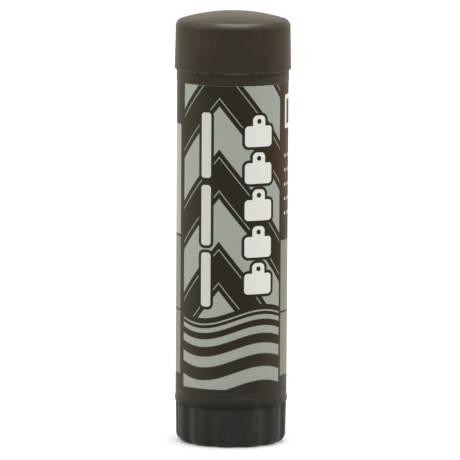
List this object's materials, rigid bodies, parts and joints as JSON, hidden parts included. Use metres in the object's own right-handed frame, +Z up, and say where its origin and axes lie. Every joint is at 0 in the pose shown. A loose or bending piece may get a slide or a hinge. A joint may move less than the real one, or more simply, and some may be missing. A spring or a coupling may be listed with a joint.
{
  "type": "animal marking crayon",
  "caption": "Twist-up stick of marking wax in a round black barrel with a printed wrap label, a domed pull-off cap and a fluted knob that winds the crayon out.",
  "frame": {"origin": "centre of the flat foot that the stick stands on", "axes": "+Z up along the barrel to the cap, -Y out of the label's front, +X to its right"},
  "size_m": [0.0354, 0.0354, 0.1317],
  "materials": {
    "black_moulding": "satin moulded polypropylene",
    "black_cap": "satin moulded polypropylene with light scuffs",
    "black_knob": "satin moulded polypropylene",
    "printed_film": "satin printed film",
    "natural_moulding": "undyed moulded polypropylene",
    "black_wax": "greasy wax"
  },
  "bodies": {
    "barrel": {"barrel": "black_moulding", "label": "printed_film"},
    "knob": {"base_knob": "black_knob", "spindle": "natural_moulding"},
    "crayon": {"carrier": "natural_moulding", "crayon": "black_wax"},
    "cap": {"cap": "black_cap"}
  },
  "joints": [
    {"name": "knob_twist", "type": "hinge", "parent": "barrel", "child": "knob", "pos_m": [0, 0, 0], "axis": [0, 0, 1], "range_deg": [0, 5040]},
    {"name": "crayon_feed", "type": "slide", "parent": "barrel", "child": "crayon", "axis": [0, 0, 1], "range_m": [0, 0.084]},
    {"name": "cap_pull", "type": "slide", "parent": "crayon", "child": "cap", "axis": [0, 0, 1], "range_m": [0, 0.04]}
  ],
  "couplings": [
    {"joint": "knob_twist", "follows": "crayon_feed", "rad_per_m": 1047.2}
  ]
}
